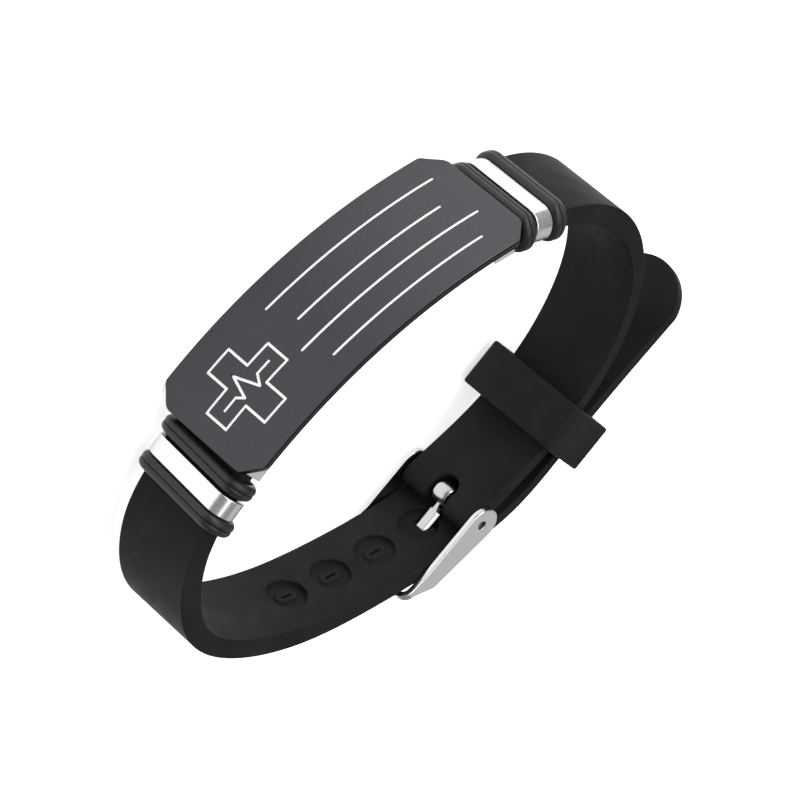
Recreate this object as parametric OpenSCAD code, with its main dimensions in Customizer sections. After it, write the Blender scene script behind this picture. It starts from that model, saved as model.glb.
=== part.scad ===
// Medical alert bracelet, fastened, lying on its side.
// Millimetres. The wrist axis is Z, the plate faces -Y, and +X runs towards the emblem end.
// The origin is the middle of the plate's lower long edge.

/* [Loop] */
// Width of the fastened strap loop along X
loop_w = 73; // [66:1:80]
// Depth of the loop from the plate's face to the buckle pin
loop_d = 48; // [44:1:54]

/* [Strap] */
// Width of the strap, along the wrist axis
strap_w = 11.8; // [10:0.2:13]
// Thickness of the strap beneath the plate
strap_t = 2.0; // [1.8:0.1:2.2]
// Clear space between the strap and the pieces threaded on it
strap_gap = 0.18; // [0.14:0.02:0.24]

/* [Holes] */
// Distance between neighbouring holes along the strap
hole_pitch = 7.1; // [6:0.1:8]
// Number of holes
hole_count = 6; // [5:1:6]
// Diameter of the round recess around each hole
recess_d = 5.1; // [4.4:0.1:5.6]
// Depth of the recess in the strap's inner face
recess_depth = 0.6; // [0.4:0.05:0.8]
// Length of the raised oval plug in each recess
plug_l = 3.1; // [2.6:0.1:3.4]
// Width of the raised oval plug
plug_w = 1.8; // [1.4:0.1:2.2]
// Height of the plug above the recess floor
plug_h = 0.3; // [0.2:0.05:0.4]
// Length of the slit through each plug
slit_l = 1.5; // [1:0.1:2]
// Width of that slit
slit_w = 0.3; // [0.2:0.05:0.4]

/* [Plate] */
// Length of the plate along its chord
plate_l = 44.3; // [40:0.5:46]
// Width of the plate, along the wrist axis
plate_w = 18; // [16:0.5:20]
// Thickness of the plate
plate_t = 1.0; // [0.8:0.1:1.6]
// Radius of the plate's curved outer face
plate_r = 65; // [60:1:72]
// Length of each corner chamfer along the plate's edges
plate_chamfer = 2.4; // [1.9:0.1:3]
// Radius where a chamfer meets the plate's edges
plate_round = 1.6; // [0.4:0.1:1.8]
// Space between the plate's inner face and the strap
plate_gap = 0.9; // [0.4:0.05:1]

/* [Plate loops] */
// Length of each loop along the strap
bridge_l = 3.0; // [2.6:0.1:3.6]
// Thickness of the loop's metal
bridge_t = 0.5; // [0.4:0.05:0.6]

/* [Engraving] */
// Depth of the engraved lines
cut_depth = 0.12; // [0.08:0.02:0.2]
// Width of the engraved lines
cut_w = 0.34; // [0.25:0.01:0.45]
// Overall size of the outlined cross
cross_size = 10.6; // [9:0.2:12]
// Distance of the cross from the plate's middle
cross_x = 14.4; // [13:0.1:15]

/* [Rings] */
// Length of a metal ring along the strap
ring_l = 2.5; // [2:0.1:3.2]
// Wall of a metal ring
ring_wall = 0.95; // [0.8:0.05:1.2]
// Radius of a metal ring's outer corners
ring_round = 2.2; // [1.2:0.1:2.2]
// Thickness of an O-ring, which is two merged round beads side by side
oring_d = 1.4; // [1.2:0.05:1.6]
// Distance between the middles of the two beads
bead_step = 0.6; // [0.4:0.05:0.8]
// Radius of an O-ring's corners, along the middle of its section
oring_round = 1.8; // [1:0.1:1.8]

/* [Keeper] */
// Length of the keeper along the strap
keeper_l = 6.4; // [5:0.2:8]
// Wall of the keeper
keeper_wall = 1.5; // [1:0.1:1.8]
// Space between the keeper and the strap's edges
keeper_side = 0.5; // [0.2:0.05:0.7]
// Radius of the keeper's outer corners
keeper_round = 0.9; // [0.5:0.1:1.5]
// Slack between the keeper and the strap on the wrist side
keeper_slack = 1.3; // [1:0.05:1.5]

/* [Buckle] */
// Thickness of each buckle arm, along the wrist axis
arm_t = 0.8; // [0.6:0.1:1]
// Side gap between the strap and each arm
arm_gap = 0.2; // [0.15:0.05:0.3]
// Radius of an arm's round end at the pin
arm_r = 2.45; // [2.3:0.05:2.8]
// Radius of the crossbar
bar_r = 0.5; // [0.45:0.05:0.6]
// Radius of the buckle pin's body
pin_r = 0.65; // [0.5:0.05:0.75]
// Radius of the pin's tips in the arms
pin_tip_r = 0.5; // [0.4:0.05:0.55]
// Outer radius of the tongue's roll around the pin
roll_r = 1.4; // [1.3:0.05:1.5]
// Width of the tongue's roll
roll_w = 2.3; // [2:0.1:2.5]
// Width of the tongue's prong
tongue_w = 1.8; // [1.6:0.1:2.2]
// Thickness of the tongue's prong
tongue_t = 0.75; // [0.6:0.05:0.9]

/* [Hidden] */
$fn = 48;
// Steps along each span of the strap's curve
steps = 8;
// Height of the wrist axis' middle plane above the floor
mid_z = plate_w / 2;
// The plate's outer face lies half its thickness before the origin
face_y = -plate_t / 2;
// Half of the angle that the plate spans
plate_half = asin(plate_l / 2 / plate_r);
// Radius of the strap's middle line beneath the plate
under_r = plate_r - plate_t - plate_gap - strap_t / 2;
plate_cy = face_y + plate_r;
// Angle between control points beneath the plate
under_step = plate_half * 0.3;
under_rc = under_r * 3 / (2 + cos(under_step));

// Control points of the strap's middle line from the plate to the buckle pin, right of the plate.
// Columns: X as a share of loop_w, depth as a share of loop_d, thickness as a share of strap_t
SHORT_HALF = [
    [-0.345, 0.185, 1.10],
    [-0.415, 0.261, 1.43],
    [-0.464, 0.362, 1.46],
    [-0.487, 0.478, 1.26],
    [-0.484, 0.601, 0.99],
    [-0.453, 0.720, 0.89],
    [-0.396, 0.826, 0.91],
    [-0.323, 0.908, 0.91],
    [-0.238, 0.962, 0.85],
    [-0.143, 0.987, 0.85],
    [-0.036, 1.000, 1.50],
    [0.082, 1.016, 1.80],
];
// The same from the plate past the buckle to the free tip, left of the plate
LONG_HALF = [
    [0.344, 0.186, 1.10],
    [0.414, 0.253, 1.43],
    [0.458, 0.348, 1.50],
    [0.483, 0.458, 1.43],
    [0.482, 0.567, 1.29],
    [0.450, 0.670, 1.30],
    [0.393, 0.770, 1.40],
    [0.319, 0.861, 1.36],
    [0.227, 0.933, 1.24],
    [0.130, 0.993, 1.05],
    [0.037, 1.038, 0.90],
    [-0.043, 1.071, 0.77],
    [-0.113, 1.076, 0.74],
    [-0.184, 1.049, 0.74],
    [-0.264, 1.006, 0.75],
    [-0.359, 0.964, 0.75],
    [-0.474, 0.922, 0.75],
    [-0.600, 0.876, 0.74],
    [-0.740, 0.826, 0.74],
];
X = 0;
Y = 1;
T = 2;

function sized(row) = [row[X] * loop_w, face_y + row[Y] * loop_d, row[T] * strap_t];
function flipped(list) = [for (i = [len(list) - 1 : -1 : 0]) list[i]];
function under(k) = [under_rc * sin(k * under_step), plate_cy - under_rc * cos(k * under_step), strap_t];
CONTROL = concat(
    [for (row = flipped(SHORT_HALF)) sized(row)],
    [for (k = [-3 : 3]) under(k)],
    [for (row = LONG_HALF) sized(row)]
);
// A cubic B-spline through the control points gives the middle line and its thickness
function span(i, u) = (pow(1 - u, 3) * CONTROL[i]
    + (3 * pow(u, 3) - 6 * u * u + 4) * CONTROL[i + 1]
    + (-3 * pow(u, 3) + 3 * u * u + 3 * u + 1) * CONTROL[i + 2]
    + pow(u, 3) * CONTROL[i + 3]) / 6;
PATH = concat(
    [for (i = [0 : len(CONTROL) - 4]) for (j = [0 : steps - 1]) span(i, j / steps)],
    [span(len(CONTROL) - 4, 1)]
);
LAST = len(PATH) - 1;
function flat(i) = [PATH[i][X], PATH[i][Y]];
function along(i) = let (d = flat(min(i + 1, LAST)) - flat(max(i - 1, 0))) d / norm(d);
function inward(i) = [-along(i)[Y], along(i)[X]];
INNER = [for (i = [0 : LAST]) flat(i) + inward(i) * PATH[i][T] / 2];
OUTER = [for (i = [0 : LAST]) flat(i) - inward(i) * PATH[i][T] / 2];
// Distance along the middle line, measured from the plate's middle
MIDDLE = (len(SHORT_HALF) + 2) * steps;
RUN = [for (i = 0, s = 0; i <= LAST; s = s + (i < LAST ? norm(flat(i + 1) - flat(i)) : 0), i = i + 1) s];
function dist(i) = RUN[i] - RUN[MIDDLE];
function on_path(s, column) = lookup(s, [for (i = [0 : LAST]) [dist(i), PATH[i][column]]]);
function heading(s) = atan2(on_path(s + 0.5, Y) - on_path(s - 0.5, Y), on_path(s + 0.5, X) - on_path(s - 0.5, X));
function spot(s) = [on_path(s, X), on_path(s, Y)];
function thick(s) = on_path(s, T);
// The rounded tip ends here, just short of the last control point
TIP = dist(LAST) - 0.031 * loop_w;

// The pin sits where the short half's middle line ends
pin = flat(0);
pin_bore_r = pin_r + 0.15;
// Length of the strap's rounded nose past the pin
nose_l = 2.15;
function nose(a) = pin - along(0) * nose_l * sin(a) + inward(0) * PATH[0][T] / 2 * cos(a);

// Children are drawn with X along the strap, Y towards the wrist and Z along the wrist axis
module at_run(s) {
    translate([spot(s)[X], spot(s)[Y], mid_z])
        rotate([0, 0, heading(s)])
            children();
}

// Flat outline that wraps two circles with their common tangents
module capsule(a, ra, b, rb) {
    gap = norm(b - a);
    turn = atan2(b[Y] - a[Y], b[X] - a[X]);
    lean = acos((ra - rb) / gap);
    translate(a) circle(ra);
    translate(b) circle(rb);
    polygon([
        a + ra * [cos(turn + lean), sin(turn + lean)],
        a + ra * [cos(turn - lean), sin(turn - lean)],
        b + rb * [cos(turn - lean), sin(turn - lean)],
        b + rb * [cos(turn + lean), sin(turn + lean)]
    ]);
}

module rounded(w, h, r) {
    square([w - 2 * r, h], center = true);
    square([w, h - 2 * r], center = true);
    for (x = [-1, 1], y = [-1, 1])
        translate([x * (w / 2 - r), y * (h / 2 - r)]) circle(r);
}

// Strap

// The hole that holds the tongue
tongue_hole = lookup(0.035 * loop_w, [for (i = [LAST : -1 : MIDDLE + 12 * steps]) [PATH[i][X], dist(i)]]);
hole_one = tongue_hole - 3 * hole_pitch;

module stadium(l, w, depth) {
    rotate([-90, 0, 0]) linear_extrude(depth) {
        square([l - w, w], center = true);
        for (x = [-1, 1]) translate([x * (l - w) / 2, 0]) circle(w / 2);
    }
}

module hole_cut(s, plugged) {
    at_run(s) translate([0, thick(s) / 2, 0]) {
        difference() {
            translate([0, -recess_depth, 0])
                rotate([-90, 0, 0]) cylinder(r = recess_d / 2, h = recess_depth + 0.6);
            if (plugged)
                translate([0, -recess_depth - 0.1, 0]) stadium(plug_l, plug_w, plug_h + 0.1);
        }
        if (plugged)
            translate([0, -thick(s) - 1, 0]) stadium(slit_l, slit_w, thick(s) + 2);
    }
}

end_turn = atan2(along(0)[Y], along(0)[X]);

module strap() {
    notch_r = roll_w / 2 + 0.5;
    notch_h = PATH[0][T] + 0.2;
    tip_r = strap_w / 2 + 0.15;
    color([0.1, 0.1, 0.11])
    difference() {
        translate([0, 0, mid_z - strap_w / 2]) linear_extrude(strap_w)
            polygon(concat(INNER, flipped(OUTER), [for (a = [165 : -15 : 15]) nose(a)]));
        // Bore for the buckle pin
        translate([pin[X], pin[Y], mid_z - strap_w / 2 - 1])
            cylinder(r = pin_bore_r, h = strap_w + 2);
        // Notch for the tongue's roll, only in the short half
        translate([pin[X], pin[Y], mid_z]) rotate([0, 0, end_turn]) {
            translate([0.6, 0, 0]) rotate([90, 0, 0]) cylinder(r = notch_r, h = notch_h, center = true);
            translate([-nose_l - 0.3, -notch_h / 2, -notch_r]) cube([nose_l + 0.9, notch_h, 2 * notch_r]);
        }
        for (k = [0 : hole_count - 1])
            hole_cut(hole_one + k * hole_pitch, k != 3);
        // Opening that the prong passes through
        prong_bar(0.2);
        // Round end of the free tip
        at_run(TIP - tip_r) difference() {
            translate([0, -4, -strap_w]) cube([strap_w, 8, 2 * strap_w]);
            rotate([90, 0, 0]) cylinder(r = tip_r, h = 10, center = true);
        }
    }
}

// Plate

module plate_shell(from_r, to_r) {
    translate([0, plate_cy, 0]) difference() {
        cylinder(r = to_r, h = plate_w, $fn = 180);
        translate([0, 0, -1]) cylinder(r = from_r, h = plate_w + 2, $fn = 180);
    }
}

// The plate seen along the radius through one of its ends, which is at X = 0 here
module end_outline() {
    hw = plate_w / 2;
    c = plate_chamfer;
    r = plate_round;
    far = 1.2 * plate_l;
    // Where each rounding leaves its straight edges
    t = r * tan(22.5);
    d = t * sin(45);
    half = [[-far, -hw], [-c - t, -hw], [-c + d, -hw + d], [-d, -hw + c - d], [0, -hw + c + t]];
    polygon(concat(half, [for (p = flipped(half)) [p[X], -p[Y]]]));
    for (side = [-1, 1]) {
        translate([-c - t, side * (hw - r)]) circle(r);
        translate([-r, side * (hw - c - t)]) circle(r);
    }
}

// Everything that lies on the plate's side of one end
module end_prism(side) {
    translate([0, plate_cy, mid_z]) rotate([0, 0, side * plate_half])
        rotate([90, 0, 0]) linear_extrude(1.1 * plate_r) rotate(side > 0 ? 0 : 180) end_outline();
}

module facing(depth) {
    translate([0, depth, mid_z]) rotate([90, 0, 0]) linear_extrude(depth + 5) children();
}

module cross_shape(size, arm) {
    square([size, arm], center = true);
    square([arm, size], center = true);
}

// Beats of the pulse line inside the cross. Columns: X and Z as shares of the cross size
PULSE = [[-0.36, 0], [-0.17, 0], [-0.09, 0.13], [0.02, -0.2], [0.11, 0.09], [0.17, 0], [0.36, 0]];

module stroke(a, b) {
    d = b - a;
    translate(a) rotate(atan2(d[Y], d[X])) translate([0, -cut_w / 2]) square([norm(d), cut_w]);
    translate(a) circle(cut_w / 2);
    translate(b) circle(cut_w / 2);
}

// Ruled lines. Columns: start and end along the plate and height, as shares of its length and width
RULES = [[0.145, -0.425, -0.29], [0.11, -0.375, -0.065], [0.165, -0.435, 0.125], [0.12, -0.385, 0.315]];

module engraved_cross() {
    translate([cross_x, 0]) difference() {
        cross_shape(cross_size, cross_size * 0.36);
        cross_shape(cross_size - 2 * cut_w, cross_size * 0.36 - 2 * cut_w);
    }
}

function unit(v) = v / norm(v);
// A corner of the pulse line's outline. Side is 1 or -1
function beat_corner(i, side) = let (
    a = min(max(i, 1), len(PULSE) - 1),
    b = max(min(i, len(PULSE) - 2), 0),
    before = unit(PULSE[a] - PULSE[a - 1]),
    between = unit(before + unit(PULSE[b + 1] - PULSE[b]))
) PULSE[i] * cross_size + side * [-between[Y], between[X]] * cut_w / 2 / (between * before);

module engraved_pulse() {
    last = len(PULSE) - 1;
    translate([cross_x, 0]) polygon(concat(
        [for (i = [0 : last]) beat_corner(i, 1)],
        [for (i = [last : -1 : 0]) beat_corner(i, -1)]
    ));
}

module engraved_rules() {
    for (row = RULES)
        stroke([row[0] * plate_l, row[2] * plate_w], [row[1] * plate_l, row[2] * plate_w]);
}

// The strap leaves the plate as it nears the loops, so they stand deeper than it is thick
bridge_depth = plate_gap + strap_t + 2.8 * strap_gap + bridge_t;
loop_room = strap_gap / 2;

module bridge() {
    inner_w = strap_w + 2 * loop_room;
    outer_w = inner_w + 2 * bridge_t;
    difference() {
        translate([-bridge_l / 2, -0.2, -outer_w / 2]) cube([bridge_l, bridge_depth + 0.2, outer_w]);
        translate([-bridge_l, -1, -inner_w / 2]) cube([2 * bridge_l, 1 + bridge_depth - bridge_t, inner_w]);
    }
}

// Each loop ends at this run, short of the O-ring beside it
function bridge_turn(run) = (run - bridge_l / 2) / under_r * 180 / PI;

module id_plate() {
    color([0.2, 0.2, 0.22]) {
        difference() {
            intersection() {
                plate_shell(plate_r - plate_t, plate_r);
                end_prism(-1);
                end_prism(1);
            }
            intersection() {
                plate_shell(plate_r - cut_depth, plate_r + 1);
                union() {
                    facing(20) engraved_cross();
                    facing(20) engraved_pulse();
                    facing(20) engraved_rules();
                }
            }
        }
        for (turn = [bridge_turn(plate_end - 0.2), -bridge_turn(plate_end - 0.75)])
            translate([0, plate_cy, mid_z]) rotate([0, 0, turn])
                translate([0, -plate_r + plate_t, 0]) bridge();
    }
}

// Rings on the strap

// Half of the strap's thickness, to the nearest hundredth
function half_thick(s) = round(thick(s) * 50) / 100;

// Radius of the inner corners of the rings and the keeper
inner_round = 0.2;

module band_loop(w, h, wall, outer_round, l) {
    rotate([0, 90, 0]) translate([0, 0, -l / 2]) linear_extrude(l) difference() {
        rounded(w + 2 * wall, h + 2 * wall, outer_round);
        rounded(w, h, inner_round);
    }
}

module metal_ring(s) {
    color([0.8, 0.8, 0.82]) ring_spot(s, s)
        band_loop(strap_w + 2 * strap_gap, half_thick(s) * 2 + 3 * strap_gap, ring_wall, ring_round, ring_l);
}

module beads() {
    for (side = [-1, 1]) translate([side * bead_step / 2, 0]) circle(oring_d / 2, $fn = 32);
}

module o_ring(s, middle) {
    // The middle of the section runs this far outside the strap
    off = oring_d / 2 + strap_gap;
    half_t = half_thick(s);
    // Half lengths of the straight runs
    run_z = strap_w / 2 + off - oring_round;
    run_y = half_t + off - oring_round;
    color([0.08, 0.08, 0.08]) ring_spot(s, middle) {
        for (side = [-1, 1]) {
            translate([0, side * (half_t + off), 0]) linear_extrude(2 * run_z, center = true) beads();
            translate([0, 0, side * (strap_w / 2 + off)])
                rotate([90, 0, 0]) linear_extrude(2 * run_y, center = true) beads();
        }
        difference() {
            for (side = [-1, 1], end = [-1, 1])
                translate([0, side * run_y, end * run_z])
                    rotate([0, -90, 0]) rotate([0, 0, side > 0 ? (end > 0 ? 0 : 90) : (end > 0 ? 270 : 180)])
                        rotate_extrude(angle = 90) translate([oring_round, 0]) rotate(90) beads();
            // The rubber gives way to the strap's edges
            cube([2 * oring_l, 2 * (half_t + corner_room), strap_w + 2 * corner_room], center = true);
        }
    }
}

// Space that an O-ring's corners leave beside the strap
corner_room = 1.8 * strap_gap;
// Run from the plate's middle to its end
plate_end = plate_half * PI / 180 * under_r;
oring_l = oring_d + bead_step;
// Room between neighbouring rings, wider beside the long half's first O-ring
ring_space = 0.12;
ring_room = 0.35;
o1_run = plate_end + oring_l / 2 + 0.4;
ring1_run = o1_run + oring_l / 2 + ring_room + ring_l / 2;
o2_run = ring1_run + ring_l / 2 + ring_space + oring_l / 2;
o3_run = -plate_end - oring_l / 2;
ring2_run = o3_run - oring_l / 2 - ring_space - ring_l / 2;
o4_run = ring2_run - ring_l / 2 - ring_space - oring_l / 2;
// Each group of rings shares its metal ring's heading. Turn is about the strap's normal, lean about the wrist axis
left_turn = 2.5;
left_lean = -4;
right_lean = -5;

module ring_spot(s, middle) {
    translate([spot(s)[X], spot(s)[Y], mid_z])
        rotate([0, 0, heading(middle) + (s > 0 ? left_lean : right_lean)])
            rotate([0, s > 0 ? left_turn : 0, 0])
                children();
}

// Keeper

keeper_run = lookup(-0.245 * loop_w, [for (i = [0 : MIDDLE - 9 * steps]) [PATH[i][X], dist(i)]]);

module keeper() {
    s = keeper_run;
    inner_face = spot(s) + [-sin(heading(s)), cos(heading(s))] * thick(s) / 2;
    out = [sin(heading(s)), -cos(heading(s))];
    // Nearest point of the free half, straight out from the short half
    reach = min([for (i = [MIDDLE + 12 * steps : LAST])
        abs((OUTER[i] - inner_face) * [out[Y], -out[X]]) < 0.7 ? (OUTER[i] - inner_face) * out : 1000]);
    // The free half lies closer to the keeper's outer side
    h = reach + keeper_slack * 1.3;
    centre = inner_face + out * (h / 2 - keeper_slack);
    color([0.13, 0.13, 0.14])
    translate([centre[X], centre[Y], mid_z]) rotate([0, 0, heading(s)])
        band_loop(strap_w + 2 * keeper_side, h, keeper_wall, keeper_round, keeper_l);
}

// Buckle

// Where the crossbar lies against the free half's outer side
bar_run = lookup(-0.137 * loop_w, [for (i = [LAST : -1 : MIDDLE + 5 * steps]) [-PATH[i][X], dist(i)]]);
bar_off = thick(bar_run) / 2 + bar_r + 0.35;
bar_spot = spot(bar_run) + [sin(heading(bar_run)), -cos(heading(bar_run))] * bar_off;
arm_in = strap_w / 2 + arm_gap;
arm_out = arm_in + arm_t;
arm_mid = arm_in + arm_t / 2;
arm_centre = pin + [0.05, 0.2];
// Radius of the bend between the crossbar and each arm
bend_r = 1.3;
arm_end = bar_spot - [bend_r, 0];
// An arm is deepest here
arm_belly = [pin[X] + 0.735 * (arm_end[X] - pin[X]), pin[Y] + 0.717 * arm_r];
belly_r = 0.64 * arm_r;

module arm_outline() {
    capsule(arm_centre, arm_r, arm_belly, belly_r);
    capsule(arm_belly, belly_r, arm_end, bar_r + 0.1);
}

module buckle_frame() {
    color([0.78, 0.78, 0.8]) translate([0, 0, mid_z]) {
        difference() {
            for (side = [-1, 1])
                translate([0, 0, side * arm_mid - arm_t / 2]) linear_extrude(arm_t) arm_outline();
            translate([pin[X], pin[Y], -arm_out - 1]) cylinder(r = pin_tip_r + 0.1, h = 2 * arm_out + 2);
        }
        translate([bar_spot[X], bar_spot[Y], 0]) cylinder(r = bar_r, h = 2 * (arm_mid - bend_r), center = true);
        for (side = [-1, 1])
            translate([arm_end[X], bar_spot[Y], side * (arm_mid - bend_r)]) rotate([90, 0, 0])
                rotate([0, 0, side > 0 ? 0 : -90]) rotate_extrude(angle = 90) translate([bend_r, 0]) circle(bar_r);
    }
}

module buckle_pin() {
    color([0.7, 0.7, 0.72]) translate([pin[X], pin[Y], mid_z]) {
        cylinder(r = pin_r, h = 2 * arm_in - 0.2, center = true);
        cylinder(r = pin_tip_r, h = 2 * (arm_in + arm_t - 0.3), center = true);
    }
}

// The prong leaves the roll by a narrow neck, passes the strap and ends on the crossbar's outer side
prong_from = pin + [2.05, 1.25];
prong_bend = pin + [7.4, 2.9];
prong_to = bar_spot + [0.6, bar_r + 0.12 + tongue_t / 2];

module slab(a, b, w, grow) {
    d = b - a;
    translate([a[X], a[Y], mid_z]) rotate([0, 0, atan2(d[Y], d[X])])
        translate([0, -tongue_t / 2 - grow, -w / 2]) cube([norm(d), tongue_t + 2 * grow, w]);
}

module prong_bar(grow) {
    slab(prong_from, prong_bend, tongue_w + 2 * grow, grow);
}

module buckle_tongue() {
    color([0.8, 0.8, 0.82]) difference() {
        union() {
            translate([pin[X], pin[Y], mid_z]) cylinder(r = roll_r, h = roll_w, center = true);
            slab(pin + [0.5, 0.35], prong_from + [0.1, 0.05], 0.5 * tongue_w, -0.03);
            prong_bar(0);
            slab(prong_bend, prong_to, tongue_w, 0);
            // The prong's bend and its rounded tip
            for (p = [prong_bend, prong_to])
                translate([p[X], p[Y], mid_z]) cylinder(r = tongue_t / 2 - 0.02, h = tongue_w, center = true);
        }
        translate([pin[X], pin[Y], mid_z]) cylinder(r = pin_r + 0.08, h = roll_w + 2, center = true);
    }
}

strap();
id_plate();
metal_ring(ring1_run);  // metal_ring_1
metal_ring(ring2_run);  // metal_ring_2
o_ring(o1_run, ring1_run);  // o_ring_1
o_ring(o2_run, ring1_run);  // o_ring_2
o_ring(o3_run, ring2_run);  // o_ring_3
o_ring(o4_run, ring2_run);  // o_ring_4
keeper();
buckle_frame();
buckle_pin();
buckle_tongue();
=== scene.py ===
"""Medical alert bracelet lying on its side: finishes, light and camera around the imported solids.

Metres, in the part's own frame: the wrist axis is Z and the plate faces -Y.
"""
import math

import bmesh
import bpy
from mathutils import Matrix, Quaternion, Vector


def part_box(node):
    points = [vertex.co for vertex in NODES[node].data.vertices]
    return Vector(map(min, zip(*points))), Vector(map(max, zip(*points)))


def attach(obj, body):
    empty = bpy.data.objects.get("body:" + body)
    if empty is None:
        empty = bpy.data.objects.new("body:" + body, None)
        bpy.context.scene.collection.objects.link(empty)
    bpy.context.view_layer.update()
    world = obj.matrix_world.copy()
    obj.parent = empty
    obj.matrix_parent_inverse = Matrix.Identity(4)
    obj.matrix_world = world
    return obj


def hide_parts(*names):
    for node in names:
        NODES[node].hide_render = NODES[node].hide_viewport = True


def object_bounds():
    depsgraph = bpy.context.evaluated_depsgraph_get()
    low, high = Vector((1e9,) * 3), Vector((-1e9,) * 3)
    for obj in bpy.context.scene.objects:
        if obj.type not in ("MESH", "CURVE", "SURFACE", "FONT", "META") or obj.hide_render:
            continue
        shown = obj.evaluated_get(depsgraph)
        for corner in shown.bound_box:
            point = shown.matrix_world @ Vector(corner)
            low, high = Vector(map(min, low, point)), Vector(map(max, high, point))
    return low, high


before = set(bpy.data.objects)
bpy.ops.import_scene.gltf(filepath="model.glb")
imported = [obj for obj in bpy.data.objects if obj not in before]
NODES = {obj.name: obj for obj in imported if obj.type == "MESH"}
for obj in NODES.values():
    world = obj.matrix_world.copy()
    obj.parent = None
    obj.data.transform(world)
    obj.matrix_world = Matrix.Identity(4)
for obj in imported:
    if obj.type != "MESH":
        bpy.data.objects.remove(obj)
CAD_BOX = [list(corner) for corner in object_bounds()]
MM = 0.001

# Camera, from the photograph's perspective. The roll is in degrees, lens and sensor in millimetres
CAMERA_AT = Vector((110.02, -413.31, 291.61)) * MM
CAMERA_AIM = Vector((-1.855, 24.2, 9.406)) * MM
CAMERA_ROLL = 130.44
CAMERA_LENS = 202.5
CAMERA_SENSOR = 36.0

# Lights, all aimed at one point. Columns: name, place, side of the square, power in watts
LIGHT_AIM = Vector((0, 0.02, 0))
LIGHTS = [
    ("top", (-0.15, -0.3, 0.75), 1.0, 6.5),
    ("side", (-0.6, -0.5, 0.35), 0.5, 3.5),
    ("back", (-0.2, 0.8, 0.5), 0.6, 0.4),
]
WORLD_LIGHT = 0.33

# Floor: how far it reaches and lies below the part, and its glow on the part and towards the camera
FLOOR_REACH = 3
FLOOR_DROP = 0.01 * MM
FLOOR_GLOW = 0.55
FLOOR_GLOW_SEEN = 0.68

# Plate, as packed
PLATE_LOW, PLATE_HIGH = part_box("id_plate")
PLATE_RADIUS = 65 * MM
PLATE_THICK = 1.0 * MM
PLATE_INSIDE = PLATE_RADIUS - PLATE_THICK
PLATE_AXIS_Y = PLATE_RADIUS - PLATE_THICK / 2
PLATE_MIDDLE_Z = (PLATE_LOW.z + PLATE_HIGH.z) / 2
PLATE_LENGTH = 44.3 * MM
PLATE_WIDTH = PLATE_HIGH.z - PLATE_LOW.z

# Tones of the plate's black face: in its middle, towards both ends, and over these on its -X half. The
# lighter ends and -X half are painted light
FACE_MIDDLE = (0.050, 0.0475, 0.053, 1.0)
FACE_ENDS_LIT = (0.052, 0.0505, 0.056, 1.0)
FACE_MINUS_X_LIT = (0.068, 0.067, 0.073, 1.0)

# Engraved lines, the same as the grooves in the plate
LINE_WIDTH = 0.34 * MM
LINE_DEPTH = 0.12 * MM
CROSS_AT = 14.4 * MM
CROSS_SIZE = 10.6 * MM
CROSS_ARM = 0.36
# Beats of the pulse line. Columns: X and Z as shares of the cross
PULSE = [(-0.36, 0), (-0.17, 0), (-0.09, 0.13), (0.02, -0.2), (0.11, 0.09), (0.17, 0), (0.36, 0)]
# Ruled lines. Columns: start and end as shares of the plate's length, height as a share of its width
RULES = [(0.145, -0.425, -0.29), (0.11, -0.375, -0.065), (0.165, -0.435, 0.125), (0.12, -0.385, 0.315)]
# How deep the light lines lie in the grooves, as a share of the depth, and what parts crossing ones
LINE_SINK = 0.35
LINE_LIFT = 0.002 * MM
STROKE_STEP = 0.5 * MM
DOT_SIDES = 14

# Rings, as packed
RING_WALL = 0.95 * MM
RING_ROUND = 2.2 * MM
RING_INNER_ROUND = 0.2 * MM
BEAD_RADIUS = 0.7 * MM
BEAD_STEP = 0.6 * MM
ORING_ROUND = 1.8 * MM
STRAP_GAP = 0.18 * MM
CORNER_ROOM = 1.8 * STRAP_GAP
# Rings, finer than packed: radii of a metal ring's edges, and an O-ring's groove between its beads,
# which stop an angle short of where they would meet
RING_EDGE = 0.14 * MM
RING_INNER_EDGE = 0.06 * MM
BEAD_GROOVE = 0.16 * MM
BEAD_SHORT = 0.1
BEAD_STEPS = 9
CORNER_STEPS = 12
AXIS_ROUNDS = 60

# Buckle, as packed: everything is drawn around the pin and the crossbar
PIN_LOW, PIN_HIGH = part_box("buckle_pin")
PIN = Vector(((PIN_LOW.x + PIN_HIGH.x) / 2, (PIN_LOW.y + PIN_HIGH.y) / 2))
BAR_RADIUS = 0.5 * MM
BEND_RADIUS = 1.3 * MM
BEND_STEPS = 12
ARM_IN = 6.1 * MM
ARM_OUT = 6.9 * MM
ARM_MID = (ARM_IN + ARM_OUT) / 2
ARM_HALF = (ARM_OUT - ARM_IN) / 2
ARM_ROUND = 0.16 * MM
# An arm's side view: its head round the pin, its belly towards the crossbar and half its end's width
ARM_RADIUS = 2.45 * MM
ARM_HEAD = Vector((0.05, 0.2)) * MM
ARM_STEPS = 44
BELLY_RADIUS = 0.64 * ARM_RADIUS
BELLY_ALONG = 0.735
BELLY_UP = 0.717 * ARM_RADIUS
BELLY_STEPS = 8
ARM_END = BAR_RADIUS + 0.1 * MM
HOLE_RADIUS = 0.6 * MM
HOLE_EDGE = 0.05 * MM
HOLE_SIDES = 32

# Roll round the pin: a barrel with a sunk rim. Shoulder and rim are shares of its radius
ROLL_RADIUS = 1.4 * MM
ROLL_WIDTH = 2.3 * MM
ROLL_SHOULDER = 0.8
ROLL_CROWN = 0.65
ROLL_STEPS = 14
ROLL_SIDES = 40
BORE_RADIUS = 0.73 * MM
RIM_OUTER = 0.64
RIM_INNER = 0.6
RIM_DEPTH = 0.12 * MM
RIM_LIP = 0.02 * MM

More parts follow.
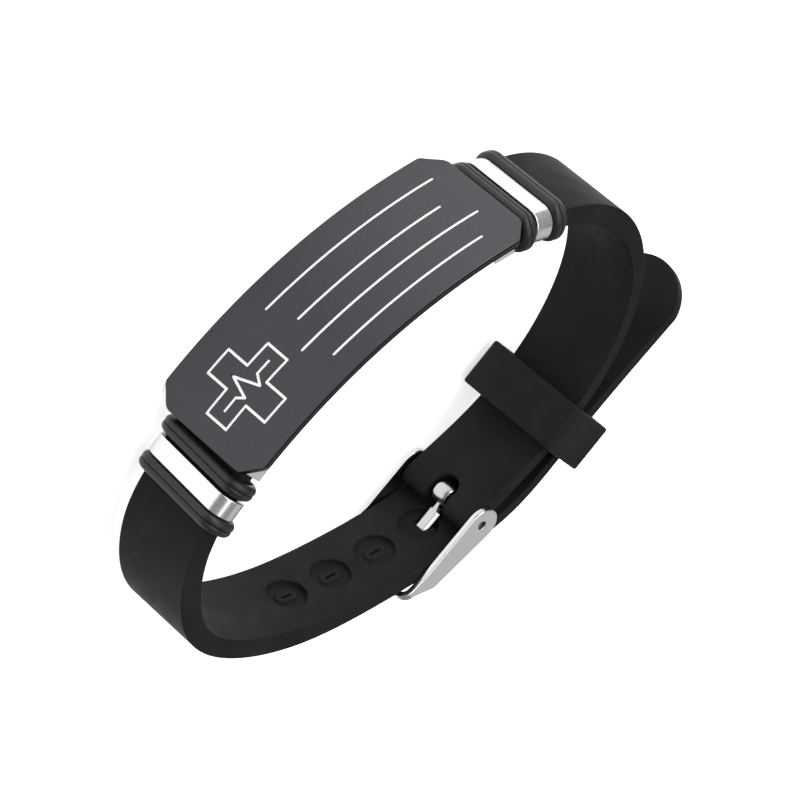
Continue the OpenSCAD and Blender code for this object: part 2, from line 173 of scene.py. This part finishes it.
# Prong. Distances from the pin to where it starts and bends, and from the crossbar to its tip
PRONG_THICK = 0.75 * MM
PRONG_WIDTH = 1.8 * MM
PRONG_FROM = Vector((2.05, 1.25)) * MM
PRONG_BEND = Vector((7.4, 2.9)) * MM
PRONG_TIP = Vector((0.6, 0.995)) * MM
# Half of its section. Columns: place across as a share of half its width, depth as a share of its thickness
PRONG_SIDE = [(0.53, 0.0), (0.57, 0.07), (0.63, 0.08), (0.97, 0.46), (1.0, 0.52), (1.0, 0.88), (0.88, 1.0)]

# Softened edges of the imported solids
STRAP_EDGE = 0.16 * MM
KEEPER_EDGE = 0.3 * MM
PLATE_EDGE = 0.1 * MM
PIN_EDGE = 0.08 * MM
WELD = 0.002 * MM
NO_AREA = 1e-13
# Angles: edges to soften, faces taken as one flat face, edges kept sharp on the beads and the tongue
SOFTEN_ANGLE = math.radians(32)
FLAT_ANGLE = math.radians(0.3)
BEAD_ANGLE = math.radians(40)
TONGUE_ANGLE = math.radians(24)


# Node helpers

class Maker:
    """Builds one material's nodes with short calls."""

    def __init__(self, name):
        self.material = bpy.data.materials.new(name)
        self.material.use_nodes = True
        self.tree = self.material.node_tree
        self.shader = self.tree.nodes["Principled BSDF"]
        self.place = self.add("ShaderNodeTexCoord").outputs["Object"]

    def add(self, kind, **settings):
        node = self.tree.nodes.new(kind)
        for name, value in settings.items():
            setattr(node, name, value)
        return node

    def link(self, source, target):
        self.tree.links.new(source, target)

    def feed(self, socket, value):
        """Links an output to a socket, or sets the socket to a plain value."""
        if hasattr(value, "links"):
            self.link(value, socket)
        else:
            socket.default_value = value

    def noise(self, scale, detail, rough=0.5, at=None):
        """Noise whose cells are about 1 / scale metres."""
        node = self.add("ShaderNodeTexNoise")
        self.link(at or self.place, node.inputs["Vector"])
        node.inputs["Scale"].default_value = scale
        node.inputs["Detail"].default_value = detail
        node.inputs["Roughness"].default_value = rough
        return node.outputs["Fac"]

    def hair(self, scale):
        """Fine scratches: noise with its own scale along each axis."""
        node = self.add("ShaderNodeMapping")
        self.link(self.place, node.inputs["Vector"])
        node.inputs["Scale"].default_value = scale
        return self.noise(1, 4.0, 0.7, node.outputs["Vector"])

    def math(self, operation, a, b=0.0):
        node = self.add("ShaderNodeMath", operation=operation)
        self.feed(node.inputs[0], a)
        self.feed(node.inputs[1], b)
        return node.outputs["Value"]

    def spread(self, value, from_low, from_high, low, high):
        """Maps a value from one range to another, held at both ends."""
        node = self.add("ShaderNodeMapRange")
        self.feed(node.inputs["Value"], value)
        limits = {"From Min": from_low, "From Max": from_high, "To Min": low, "To Max": high}
        for name, number in limits.items():
            self.feed(node.inputs[name], number)
        return node.outputs["Result"]

    def mix(self, share, a, b):
        node = self.add("ShaderNodeMix", data_type="RGBA")
        self.feed(node.inputs["Factor"], share)
        self.feed(node.inputs["A"], a)
        self.feed(node.inputs["B"], b)
        return node.outputs["Result"]

    def set(self, name, value):
        self.feed(self.shader.inputs[name], value)

    def bump(self, height, distance, strength, normal=None):
        node = self.add("ShaderNodeBump")
        node.inputs["Strength"].default_value = strength
        node.inputs["Distance"].default_value = distance
        self.link(height, node.inputs["Height"])
        if normal is not None:
            self.link(normal, node.inputs["Normal"])
        return node.outputs["Normal"]


def grey(value, blue=1.0):
    """A grey whose blue is blue times its red."""
    return (value, value * (1 + (blue - 1) / 3), value * blue, 1.0)


# Materials

def silicone(name, base, rough):
    """Matte moulded silicone: fine grain, faint clouds in its tone and sheen."""
    m = Maker(name)
    cloud = m.spread(m.noise(160, 4.0), 0.35, 0.65, 0.0, 1.0)
    m.set("Base Color", m.mix(cloud, grey(base, 1.12), grey(base * 1.35, 1.1)))
    m.set("Roughness", m.spread(m.noise(420, 5.0), 0.3, 0.7, rough - 0.05, rough + 0.06))
    m.set("Specular IOR Level", 0.06)
    grain = m.bump(m.noise(9000, 2.0), 0.01 * MM, 0.5)
    m.set("Normal", m.bump(m.noise(900, 3.0), 0.02 * MM, 0.25, grain))
    return m.material


def rubber(name):
    """O-ring rubber: smoother than the strap and faintly mottled."""
    m = Maker(name)
    mottle = m.noise(1500, 3.0)
    m.set("Base Color", m.mix(mottle, grey(0.009, 1.1), grey(0.016, 1.1)))
    m.set("Roughness", m.spread(mottle, 0.3, 0.7, 0.3, 0.42))
    m.set("Specular IOR Level", 0.32)
    m.set("Normal", m.bump(m.noise(5000, 2.0), 0.01 * MM, 0.3))
    return m.material


def steel(name, rough, bright):
    """Polished steel with hairline scratches."""
    m = Maker(name)
    m.set("Base Color", m.mix(m.noise(260, 3.0), grey(0.94 * bright, 1.02), grey(1.06 * bright, 1.02)))
    m.set("Metallic", 1.0)
    hair = m.hair((900, 900, 14000))
    m.set("Roughness", m.spread(hair, 0.35, 0.7, rough, rough + 0.1))
    m.set("Normal", m.bump(hair, 0.004 * MM, 0.3))
    return m.material


def plating(name):
    """Black plated steel in front and on the edges, bare brushed steel on the back and the loops. Painted
    light makes the front lighter towards its ends and -X half, and painted shade darkens the edges and
    grooves, with a painted highlight line along the edge.
    """
    m = Maker(name)
    split = m.add("ShaderNodeSeparateXYZ")
    m.link(m.place, split.inputs["Vector"])
    x, y = split.outputs["X"], split.outputs["Y"]
    depth = m.math("SUBTRACT", PLATE_AXIS_Y, y)
    radius = m.math("SQRT", m.math("ADD", m.math("MULTIPLY", x, x), m.math("MULTIPLY", depth, depth)))
    # Painted light: the face is lighter towards both ends and on its -X half
    ends = m.spread(m.math("ABSOLUTE", x), 2 * MM, 19 * MM, 0.0, 1.0)
    lit_minus_x = m.spread(x, -15 * MM, 3 * MM, 1.0, 0.0)
    face = m.mix(lit_minus_x, m.mix(ends, FACE_MIDDLE, FACE_ENDS_LIT), FACE_MINUS_X_LIT)
    # Painted shade: the wall and the grooves are darker, with a painted highlight line along the middle of
    # the wall
    off_middle = m.math("ABSOLUTE", m.math("SUBTRACT", radius, PLATE_RADIUS - PLATE_THICK / 2))
    painted_highlight_line = m.spread(off_middle, 0.06 * MM, 0.1 * MM, 1.0, 0.0)
    shaded_wall = m.mix(painted_highlight_line, grey(0.006, 1.1), grey(0.075, 1.0))
    shaded_cut = m.spread(radius, PLATE_RADIUS - 0.07 * MM, PLATE_RADIUS - 0.03 * MM, 1.0, 0.0)
    back = m.spread(radius, PLATE_INSIDE + 0.03 * MM, PLATE_INSIDE + 0.06 * MM, 1.0, 0.0)
    m.set("Base Color", m.mix(back, m.mix(shaded_cut, face, shaded_wall), grey(0.72, 1.02)))
    m.set("Metallic", 1.0)
    hair = m.hair((500, 9000, 9000))
    smudge = m.spread(m.noise(140, 4.0), 0.4, 0.7, 0.0, 0.06)
    front_rough = m.math("ADD", m.spread(hair, 0.3, 0.7, 0.24, 0.3), smudge)
    m.set("Roughness", m.math("ADD", front_rough, m.math("MULTIPLY", back, 0.05)))
    m.set("Normal", m.bump(hair, 0.003 * MM, 0.25))
    return m.material


def engraved(name):
    """Frosted laser-marked lines, a little uneven."""
    m = Maker(name)
    dots = m.noise(9000, 2.0)
    m.set("Base Color", m.mix(m.spread(dots, 0.35, 0.6, 0.0, 1.0), grey(0.62), grey(0.9)))
    m.set("Roughness", 0.6)
    m.set("Normal", m.bump(dots, 0.02 * MM, 0.5))
    return m.material


def paper(name):
    """White paper on a light table: its glow keeps the shadows on it pale, most of all to the camera."""
    m = Maker(name)
    m.set("Base Color", grey(0.9))
    m.set("Roughness", 0.9)
    m.set("Specular IOR Level", 0.1)
    m.set("Emission Color", grey(1.0))
    seen = m.add("ShaderNodeLightPath").outputs["Is Camera Ray"]
    m.set("Emission Strength", m.spread(seen, 0.0, 1.0, FLOOR_GLOW, FLOOR_GLOW_SEEN))
    return m.material


def dress(node, material):
    """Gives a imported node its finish."""
    node.data.materials.clear()
    node.data.materials.append(material)


# Edges

def crease_list(mesh):
    """Edges where the surface turns sharply. Columns: indices of the edge's copies, its middle"""
    bm = bmesh.new()
    bm.from_mesh(mesh)
    targets = bmesh.ops.find_doubles(bm, verts=bm.verts, dist=WELD)["targetmap"]
    same = [targets.get(vert, vert).index for vert in bm.verts]
    sides = {}
    for face in bm.faces:
        if face.calc_area() < NO_AREA:
            continue
        for edge in face.edges:
            key = frozenset(same[vert.index] for vert in edge.verts)
            middle = (edge.verts[0].co + edge.verts[1].co) / 2
            sides.setdefault(key, []).append((edge.index, face.normal.copy(), middle))
    found = []
    for copies in sides.values():
        if len(copies) == 2 and copies[0][1].angle(copies[1][1], 0) > SOFTEN_ANGLE:
            found.append(([copy[0] for copy in copies], copies[0][2]))
    bm.free()
    return found


def set_edges(mesh, name, kind, values):
    layer = mesh.attributes.get(name) or mesh.attributes.new(name, kind, "EDGE")
    layer.data.foreach_set("value", values)


def even_normals(piece):
    piece.modifiers.new("even normals", "WEIGHTED_NORMAL").keep_sharp = True


def soften(node, width, segments, share=None):
    """Rounds a node's sharp edges. share(middle) scales the width by place, from 0 to 1."""
    mesh = node.data
    if "custom_normal" in mesh.attributes:
        mesh.attributes.remove(mesh.attributes["custom_normal"])
    mesh.shade_smooth()
    weights = [0.0] * len(mesh.edges)
    crisp = [False] * len(mesh.edges)
    for copies, middle in crease_list(mesh):
        amount = 1.0 if share is None else share(middle)
        for index in copies:
            weights[index] = amount
            crisp[index] = amount == 0
    set_edges(mesh, "bevel_weight_edge", "FLOAT", weights)
    set_edges(mesh, "sharp_edge", "BOOLEAN", crisp)
    weld = node.modifiers.new("weld", "WELD")
    weld.merge_threshold = WELD
    flat = node.modifiers.new("flat faces", "DECIMATE")
    flat.decimate_type = "DISSOLVE"
    flat.angle_limit = FLAT_ANGLE
    flat.delimit = {"SHARP"}
    bevel = node.modifiers.new("soft edge", "BEVEL")
    bevel.width = width
    bevel.segments = segments
    bevel.limit_method = "WEIGHT"
    bevel.use_clamp_overlap = False
    bevel.miter_outer = "MITER_ARC"
    even_normals(node)


def plate_share(middle):
    """Full width on the plate's outline, none on the grooves in its face."""
    radius = math.hypot(middle.x, PLATE_AXIS_Y - middle.y)
    on_front = radius > PLATE_RADIUS - 2 * LINE_DEPTH
    off_sides = abs(middle.z - PLATE_MIDDLE_Z) < PLATE_WIDTH / 2 - 0.02 * MM
    off_ends = abs(middle.x) < 0.46 * PLATE_LENGTH
    return 0.0 if on_front and off_sides and off_ends else 1.0


# Drawing

def polar(centre, radius, angle):
    return centre + radius * Vector((math.cos(angle), math.sin(angle)))


def arc(centre, radius, start, end, steps):
    return [polar(centre, radius, start + (end - start) * i / steps) for i in range(steps + 1)]


def circle(centre, radius, sides):
    return arc(centre, radius, 0, 2 * math.pi, sides)[:-1]


def blend(a, b, share):
    return a + (b - a) * share


def meet(a, reach_a, b, reach_b):
    """Where two tangent lines cross, each given by its normal's angle and its distance from the origin."""
    return Vector((
        reach_a * math.sin(b) - reach_b * math.sin(a),
        reach_b * math.cos(a) - reach_a * math.cos(b),
    )) / math.sin(b - a)


def rounded_edge(half, radius, steps=4):
    """Profile across an edge from one face to the other. Columns: inset from the outline, height"""
    turns = [math.pi / 2 * k / steps for k in range(steps + 1)]
    upper = [(radius * (1 - math.sin(a)), half - radius * (1 - math.cos(a))) for a in turns]
    return upper + [(inset, -height) for inset, height in reversed(upper)]


def strip(bm, a, b, closed=False):
    """Joins two rows of vertices with quads."""
    count = len(a)
    for i in range(count if closed else count - 1):
        j = (i + 1) % count
        bm.faces.new((a[i], a[j], b[j], b[i]))


def join_round(bm, rows):
    """Joins closed rows one to the next, and the last to the first."""
    for i in range(len(rows)):
        strip(bm, rows[i - 1], rows[i], closed=True)


def new_piece(name, bm, material, slot, *replaced):
    """A smooth object from bm that rides on the part's body and takes the place of the nodes in replaced."""
    bmesh.ops.recalc_face_normals(bm, faces=bm.faces)
    mesh = bpy.data.meshes.new(name)
    bm.to_mesh(mesh)
    bm.free()
    mesh.shade_smooth()
    piece = bpy.data.objects.new(name, mesh)
    bpy.context.scene.collection.objects.link(piece)
    piece.data.materials.append(material)
    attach(piece, "root")
    if replaced:
        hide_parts(*replaced)
    return piece


# Engraving

def on_face(u, v, radius):
    """A point of the plate's face: u along the plate, v across it."""
    return Vector((u, PLATE_AXIS_Y - math.sqrt(radius * radius - u * u), PLATE_MIDDLE_Z + v))


def add_stroke(bm, a, b, radius):
    """One engraved line, bent to the plate's face."""
    a, b = Vector(a), Vector(b)
    along = (b - a).normalized()
    side = Vector((-along.y, along.x)) * LINE_WIDTH / 2
    steps = max(1, round((b - a).length / STROKE_STEP))
    rows = []
    for shift in (side, -side):
        points = [a.lerp(b, i / steps) + shift for i in range(steps + 1)]
        rows.append([bm.verts.new(on_face(p.x, p.y, radius)) for p in points])
    strip(bm, *rows)


def add_dot(bm, at, radius):
    """The round end of a line."""
    centre = bm.verts.new(on_face(*at, radius))
    rim = [bm.verts.new(on_face(p.x, p.y, radius)) for p in circle(Vector(at), LINE_WIDTH / 2, DOT_SIDES)]
    for a, b in zip(rim, rim[1:] + rim[:1]):
        bm.faces.new((a, centre, b))


def cross_corners():
    """The cross's outline, its first quarter turned four times."""
    long = (CROSS_SIZE - LINE_WIDTH) / 2
    short = (CROSS_SIZE * CROSS_ARM - LINE_WIDTH) / 2
    quarter = [(long, -short), (long, short), (short, short)]
    corners = []
    for turn in range(4):
        for x, y in quarter:
            for _ in range(turn):
                x, y = -y, x
            corners.append((CROSS_AT + x, y))
    return corners


def engraving():
    """The light lines that lie in the plate's grooves."""
    corners = cross_corners()
    lines = list(zip(corners, corners[1:] + corners[:1]))
    pulse = [(CROSS_AT + x * CROSS_SIZE, y * CROSS_SIZE) for x, y in PULSE]
    lines += zip(pulse, pulse[1:])
    for start, end, height in RULES:
        v = height * PLATE_WIDTH
        lines.append(((start * PLATE_LENGTH, v), (end * PLATE_LENGTH, v)))
    bm = bmesh.new()
    for k, (a, b) in enumerate(lines):
        radius = PLATE_RADIUS - LINE_SINK * LINE_DEPTH + k % 3 * LINE_LIFT
        add_stroke(bm, a, b, radius)
        add_dot(bm, a, radius + LINE_LIFT / 2)
        add_dot(bm, b, radius + LINE_LIFT / 4)
    new_piece("engraved_lines", bm, engraved("engraved"), "plate").data.shade_flat()


# Rings

def own_axes(node):
    """Directions in which a ring spreads most, middling and least.

    They are the wrist axis, the strap's normal and the way along the strap.
    """
    mesh = node.data
    mesh.calc_loop_triangles()
    low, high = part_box(node.name)
    near = (Vector(low) + Vector(high)) / 2
    spread = Matrix(((0, 0, 0), (0, 0, 0), (0, 0, 0)))
    for triangle in mesh.loop_triangles:
        corners = [mesh.vertices[i].co - near for i in triangle.vertices]
        corners.append(corners[0] + corners[1] + corners[2])
        for p in corners:
            for i in range(3):
                spread[i] += p[i] * p * triangle.area / MM ** 3
    axes = []
    for start in (Vector((0, 0, 1)), Vector((0.3, 1, 0))):
        # Turned by the spread again and again, a direction settles on the widest one that is left
        axis = start
        for _ in range(AXIS_ROUNDS):
            for other in axes:
                axis = axis - axis.dot(other) * other
            axis = (spread @ axis).normalized()
        axes.append(axis)
    return axes[0], axes[1], axes[1].cross(axes[0])


class Ring:
    """Place and half sizes of a packed ring, for drawing round the strap."""

    def __init__(self, node):
        self.axes = own_axes(node)
        self.middle = Vector((0, 0, 0))
        halves = []
        for axis in self.axes:
            reach = [v.co.dot(axis) for v in node.data.vertices]
            self.middle += axis * (min(reach) + max(reach)) / 2
            halves.append((max(reach) - min(reach)) / 2)
        self.wide, self.deep, self.long = halves

    def at(self, across, depth, along):
        z, y, x = self.axes
        return self.middle + across * z + depth * y + along * x


def corner_turns():
    """Stations round a rounded rectangle.

    Columns: side across, side in depth, direction, whether inside a corner
    """
    return [
        (across, depth, math.pi / 2 * (quarter + k / CORNER_STEPS), 0 < k < CORNER_STEPS)
        for quarter, (across, depth) in enumerate(((1, 1), (-1, 1), (-1, -1), (1, -1)))
        for k in range(CORNER_STEPS + 1)
    ]


def rounded_row(bm, ring, inset, radius, along):
    """A rounded rectangle that lies inset from the ring's outline."""
    wide = ring.wide - inset - radius
    deep = ring.deep - inset - radius
    row = []
    for across, depth, turn, _ in corner_turns():
        p = polar(Vector((across * wide, depth * deep)), radius, turn)
        row.append(bm.verts.new(ring.at(p.x, p.y, along)))
    return row


def metal_ring(name, material):
    """A flat polished band with round corners and softly rounded edges."""
    ring = Ring(NODES[name])
    bm = bmesh.new()
    rows = [
        rounded_row(bm, ring, inset, RING_ROUND - inset, along)
        for inset, along in rounded_edge(ring.long, RING_EDGE)
    ]
    rows += [
        rounded_row(bm, ring, RING_WALL - inset, RING_INNER_ROUND + inset, -along)
        for inset, along in rounded_edge(ring.long, RING_INNER_EDGE, 2)
    ]
    join_round(bm, rows)
    even_normals(new_piece(name + "_finished", bm, material, "steel", name))


def bead_section():
    """Two merged round beads with a fine groove between them. Columns: place along the strap, height"""
    end = math.acos(BEAD_STEP / 2 / BEAD_RADIUS) + BEAD_SHORT
    left = arc(Vector((-BEAD_STEP / 2, 0)), BEAD_RADIUS, math.pi, end, BEAD_STEPS)
    top = [(p.x, p.y) for p in left]
    groove = [(0.0, top[-1][1] - BEAD_GROOVE)]
    upper = top + groove + [(-x, height) for x, height in reversed(top)]
    return upper + [(x, -height) for x, height in reversed(upper[1:-1])]


def o_ring(name, material):
    """The twin bead bent round the strap, pressed in where the strap's edges meet its corners."""
    ring = Ring(NODES[name])
    wide = ring.wide - BEAD_RADIUS - ORING_ROUND
    deep = ring.deep - BEAD_RADIUS - ORING_ROUND
    room = ORING_ROUND - BEAD_RADIUS - STRAP_GAP + CORNER_ROOM
    bm = bmesh.new()
    rows = []
    for across, depth, turn, inside in corner_turns():
        away = Vector((math.cos(turn), math.sin(turn)))
        least = room / max(abs(away.x), abs(away.y)) if inside else 0
        row = []
        for along, height in bead_section():
            p = Vector((across * wide, depth * deep)) + away * max(ORING_ROUND + height, least)
            row.append(bm.verts.new(ring.at(p.x, p.y, along)))
        rows.append(row)
    join_round(bm, rows)
    piece = new_piece(name + "_finished", bm, material, "oring", name)
    piece.data.set_sharp_from_angle(angle=BEAD_ANGLE)
    even_normals(piece)


# Buckle

def crossbar_middle():
    """The crossbar's axis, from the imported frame's vertices between its arms."""
    reach = ARM_MID - BEND_RADIUS + 0.05 * MM
    vertices = NODES["buckle_frame"].data.vertices
    points = [v.co for v in vertices if abs(v.co.z - PLATE_MIDDLE_Z) < reach]
    xs = [p.x for p in points]
    ys = [p.y for p in points]
    return Vector(((min(xs) + max(xs)) / 2, (min(ys) + max(ys)) / 2))


BAR = crossbar_middle()


def arm_outline(inset):
    """Side view of an arm without its crossbar end: two round parts and a narrow end, wrapped by tangents."""
    head = PIN + ARM_HEAD
    end = BAR - Vector((BEND_RADIUS, 0))
    belly = PIN + Vector((BELLY_ALONG * (end.x - PIN.x), BELLY_UP))
    head_round, belly_round, end_half = ARM_RADIUS - inset, BELLY_RADIUS - inset, ARM_END - inset
    tangents = []
    for a, b, narrowing in ((head, belly, head_round - belly_round), (belly, end, belly_round - end_half)):
        step = b - a
        tangents.append((math.atan2(step.y, step.x), math.acos(narrowing / step.length)))
    (turn_1, lean_1), (turn_2, lean_2) = tangents
    inner_1, inner_2 = turn_1 - lean_1, turn_2 - lean_2
    normal_1, normal_2 = polar(Vector((0, 0)), 1, inner_1), polar(Vector((0, 0)), 1, inner_2)
    corner = meet(inner_1, normal_1.dot(head) + head_round, inner_2, normal_2.dot(end) + end_half)
    points = [end - Vector((0, end_half)), corner]
    points += arc(head, head_round, inner_1, turn_1 + lean_1 - 2 * math.pi, ARM_STEPS)
    points += arc(belly, belly_round, turn_1 + lean_1, turn_2 + lean_2, BELLY_STEPS)
    return points + [end + Vector((0, end_half))]


def add_arm(bm, side):
    """One arm with its rounded edges and pin hole. Returns the open section at its crossbar end."""
    middle = PLATE_MIDDLE_Z + side * ARM_MID

    def raised(points, height):
        return [bm.verts.new((p.x, p.y, middle + side * height)) for p in points]

    rows = [raised(arm_outline(inset), height) for inset, height in rounded_edge(ARM_HALF, ARM_ROUND)]
    for a, b in zip(rows, rows[1:]):
        strip(bm, a, b)
    hole_rows = [
        raised(circle(PIN, HOLE_RADIUS + inset, HOLE_SIDES), height)
        for inset, height in rounded_edge(ARM_HALF, HOLE_EDGE, 2)
    ]
    for a, b in zip(hole_rows, hole_rows[1:]):
        strip(bm, a, b, closed=True)
    for loops in ((rows[0], hole_rows[0]), (rows[-1], hole_rows[-1])):
        bm.edges.new((loops[0][0], loops[0][-1]))
        edges = [bm.edges.get((loop[i - 1], loop[i])) for loop in loops for i in range(len(loop))]
        bmesh.ops.triangle_fill(bm, edges=edges, use_beauty=True)
    return [row[0] for row in rows] + [row[-1] for row in reversed(rows)]


def bar_section(share):
    """Section between an arm's end, at 0, and the crossbar, at 1. Columns: place along Y, place across"""
    wide = blend(ARM_END, BAR_RADIUS, share)
    profile = rounded_edge(blend(ARM_HALF, BAR_RADIUS, share), blend(ARM_ROUND, 0.8 * BAR_RADIUS, share))
    lower = [(inset - wide, height) for inset, height in profile]
    return lower + [(wide - inset, height) for inset, height in reversed(profile)]


def buckle_frame(material):
    """Two flat arms joined by a crossbar that bends into them."""
    bm = bmesh.new()
    ends = []
    for side in (1, -1):
        last = add_arm(bm, side)
        for k in range(1, BEND_STEPS + 1):
            angle = math.pi / 2 * k / BEND_STEPS
            section = []
            for y, across in bar_section(k / BEND_STEPS):
                radius = BEND_RADIUS + across
                x = BAR.x - BEND_RADIUS + radius * math.sin(angle)
                z = ARM_MID - BEND_RADIUS + radius * math.cos(angle)
                section.append(bm.verts.new((x, BAR.y + y, PLATE_MIDDLE_Z + side * z)))
            strip(bm, last, section, closed=True)
            last = section
        ends.append(last)
    strip(bm, ends[0], ends[1], closed=True)
    even_normals(new_piece("buckle_frame_finished", bm, material, "steel", "buckle_frame"))


def add_roll(bm):
    """The rolled end around the pin: a barrel with a rim round its bore."""
    half = ROLL_WIDTH / 2
    shoulder = ROLL_SHOULDER * ROLL_RADIUS
    turns = [math.pi * k / ROLL_STEPS for k in range(ROLL_STEPS + 1)]
    profile = [
        (shoulder + (ROLL_RADIUS - shoulder) * math.sin(a) ** ROLL_CROWN, half * math.cos(a))
        for a in turns
    ]
    rim = [
        (RIM_OUTER * ROLL_RADIUS, half - RIM_LIP),
        (RIM_INNER * ROLL_RADIUS, half - RIM_DEPTH),
        (BORE_RADIUS, half - RIM_DEPTH),
    ]
    profile += [(radius, -z) for radius, z in rim] + list(reversed(rim))
    rows = []
    for radius, z in profile:
        points = circle(PIN, radius, ROLL_SIDES)
        rows.append([bm.verts.new((p.x, p.y, PLATE_MIDDLE_Z + z)) for p in points])
    join_round(bm, rows)


def prong_route():
    """Stations along the neck and prong. Columns: place, width as a share, thickness as a share"""
    tip = BAR + PRONG_TIP - PIN
    neck = PRONG_FROM.normalized()
    along = (PRONG_BEND - PRONG_FROM).normalized()
    last = (tip - PRONG_BEND).normalized()
    # Columns: place that the station is near, direction and distance in mm from there, the two shares
    stations = [
        (PRONG_FROM, neck, -1.6, 0.42, 0.8),
        (PRONG_FROM, neck, -0.75, 0.42, 0.8),
        (PRONG_FROM, neck, -0.18, 0.6, 0.86),
        (PRONG_FROM, neck, -0.06, 0.66, 0.88),
        (PRONG_FROM, along, 0.0, 0.9, 0.96),
        (PRONG_FROM, along, 0.1, 1.0, 1.0),
        (PRONG_BEND, along, -0.3, 1.0, 1.0),
        (PRONG_BEND, last, 0.3, 1.0, 1.0),
        (tip, last, -0.2, 1.0, 1.0),
        (tip, last, 0.1, 0.9, 0.85),
        (tip, last, 0.3, 0.6, 0.5),
    ]
    return [
        (PIN + near + distance * MM * direction, width, thick)
        for near, direction, distance, width, thick in stations
    ]


def add_prong(bm):
    """The prong and its neck, closed at both ends."""
    route = prong_route()
    places = [station[0] for station in route]
    rows = []
    for i, (at, width, thick) in enumerate(route):
        along = (places[min(i + 1, len(places) - 1)] - places[max(i - 1, 0)]).normalized()
        up = Vector((along.y, -along.x))
        half = width * PRONG_WIDTH / 2
        row = []
        for side, points in ((1, PRONG_SIDE), (-1, reversed(PRONG_SIDE))):
            for across, depth in points:
                spot = at + up * (0.5 - depth) * PRONG_THICK * thick
                row.append(bm.verts.new((spot.x, spot.y, PLATE_MIDDLE_Z + side * across * half)))
        rows.append(row)
    for a, b in zip(rows, rows[1:]):
        strip(bm, a, b, closed=True)
    bm.faces.new(rows[0])
    bm.faces.new(rows[-1])


def buckle_tongue(material):
    """The prong with its narrow neck, fused to the roll on the pin."""
    bm = bmesh.new()
    add_prong(bm)
    prong = new_piece("prong", bm, material, "steel")
    bm = bmesh.new()
    add_roll(bm)
    piece = new_piece("buckle_tongue_finished", bm, material, "steel", "buckle_tongue")
    fuse = piece.modifiers.new("fuse", "BOOLEAN")
    fuse.operation = "UNION"
    fuse.solver = "EXACT"
    fuse.object = prong
    shape = bpy.data.meshes.new_from_object(piece.evaluated_get(bpy.context.evaluated_depsgraph_get()))
    piece.modifiers.clear()
    piece.data = shape
    bpy.data.objects.remove(prong)
    shape.set_sharp_from_angle(angle=TONGUE_ANGLE)
    even_normals(piece)


# Object

def finish_pieces():
    """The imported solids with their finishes, and the pieces that replace some of them."""
    dress(NODES["strap"], silicone("strap", 0.0105, 0.55))
    soften(NODES["strap"], STRAP_EDGE, 3)
    dress(NODES["keeper"], silicone("keeper", 0.0115, 0.52))
    soften(NODES["keeper"], KEEPER_EDGE, 3)
    dress(NODES["id_plate"], plating("plate"))
    soften(NODES["id_plate"], PLATE_EDGE, 2, plate_share)
    oring = rubber("oring")
    for k in range(1, 5):
        o_ring(f"o_ring_{k}", oring)
    ring_steel = steel("ring_steel", 0.2, 0.66)
    for name in ("metal_ring_1", "metal_ring_2"):
        metal_ring(name, ring_steel)
    # Nearly black steel on the pin: painted shade where its ends sit in the arm holes
    dress(NODES["buckle_pin"], steel("pin_painted_shade", 0.4, 0.06))
    soften(NODES["buckle_pin"], PIN_EDGE, 2)
    buckle_frame(steel("steel", 0.12, 0.64))
    buckle_tongue(steel("tongue_steel", 0.2, 0.5))


# Studio

def camera():
    data = bpy.data.cameras.new("camera")
    data.lens = CAMERA_LENS
    data.sensor_width = CAMERA_SENSOR
    data.clip_start = 0.01
    data.clip_end = 20
    obj = bpy.data.objects.new("camera", data)
    bpy.context.scene.collection.objects.link(obj)
    look = (CAMERA_AIM - CAMERA_AT).to_track_quat("-Z", "Y")
    obj.rotation_mode = "QUATERNION"
    obj.rotation_quaternion = look @ Quaternion((0, 0, 1), math.radians(CAMERA_ROLL))
    obj.location = CAMERA_AT
    bpy.context.scene.camera = obj


def softbox(name, at, side, power):
    data = bpy.data.lights.new(name, "AREA")
    data.size = side
    data.energy = power
    obj = bpy.data.objects.new(name, data)
    bpy.context.scene.collection.objects.link(obj)
    obj.location = at
    obj.rotation_mode = "QUATERNION"
    obj.rotation_quaternion = (LIGHT_AIM - Vector(at)).to_track_quat("-Z", "Y")


def studio():
    """A white floor, the lights and an even white world."""
    bm = bmesh.new()
    bmesh.ops.create_grid(bm, x_segments=8, y_segments=8, size=FLOOR_REACH)
    mesh = bpy.data.meshes.new("floor")
    bm.to_mesh(mesh)
    bm.free()
    floor = bpy.data.objects.new("floor", mesh)
    bpy.context.scene.collection.objects.link(floor)
    floor.location.z = CAD_BOX[0][2] - FLOOR_DROP
    floor.data.materials.append(paper("paper"))
    for light in LIGHTS:
        softbox(*light)
    world = bpy.data.worlds.new("world")
    world.use_nodes = True
    background = world.node_tree.nodes["Background"]
    background.inputs["Color"].default_value = grey(1.0)
    background.inputs["Strength"].default_value = WORLD_LIGHT
    bpy.context.scene.world = world
    bpy.context.scene.view_settings.view_transform = "Standard"
    bpy.context.scene.view_settings.look = "None"


camera()
finish_pieces()
engraving()
studio()
